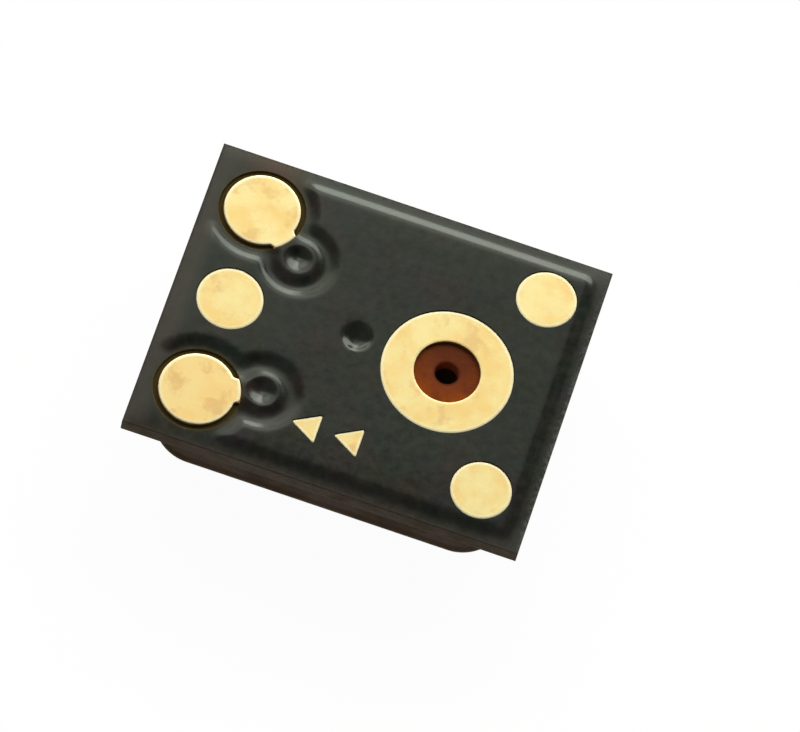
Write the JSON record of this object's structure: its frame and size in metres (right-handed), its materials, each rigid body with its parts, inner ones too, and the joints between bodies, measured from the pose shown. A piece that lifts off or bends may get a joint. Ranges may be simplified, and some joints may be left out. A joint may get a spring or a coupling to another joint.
{
  "type": "phone microphone",
  "caption": "Surface-mount phone microphone: a small board with gold contacts round a sound port, on a drawn metal lid over its chips.",
  "frame": {"origin": "the centre of the lid's flat outer face, which the part rests on", "axes": "+X along the board's long edge, from the two signal contacts towards the sound port; +Z out of the contact side; +Y across the board"},
  "size_m": [0.0038, 0.003, 0.001],
  "materials": {
    "lid_metal": "satin",
    "solder": "satin",
    "copper": "satin",
    "laminate": "matte",
    "solder_mask": "satin",
    "gold_plating": "satin",
    "adhesive": "matte",
    "silicon": "satin",
    "silicon_film": "gloss",
    "bond_metal": "satin",
    "gold_wire": "polished"
  },
  "bodies": {
    "root": {"lid": "lid_metal", "lid_solder": "solder", "lid_land": "copper", "laminate": "laminate", "contact_side_mask": "solder_mask", "lid_side_mask": "solder_mask", "ground_plane": "copper", "output_trace": "copper", "power_trace": "copper", "output_via": "copper", "power_via": "copper", "ground_via": "copper", "port_ring_contact": "gold_plating", "ground_contact_left": "gold_plating", "ground_contact_far": "gold_plating", "ground_contact_near": "gold_plating", "output_contact": "gold_plating", "power_contact": "gold_plating", "orientation_marks": "gold_plating", "output_lead": "copper", "power_lead": "copper", "mems_adhesive": "adhesive", "mems_chip": "silicon", "diaphragm": "silicon_film", "gap_ring": "silicon_film", "backplate": "silicon_film", "mems_bond_pads": "bond_metal", "asic_adhesive": "adhesive", "asic_chip": "silicon", "asic_bond_pads": "bond_metal", "bias_wire": "gold_wire", "sense_wire": "gold_wire", "output_wire": "gold_wire", "power_wire": "gold_wire", "ground_wire": "gold_wire"}
  },
  "joints": []
}
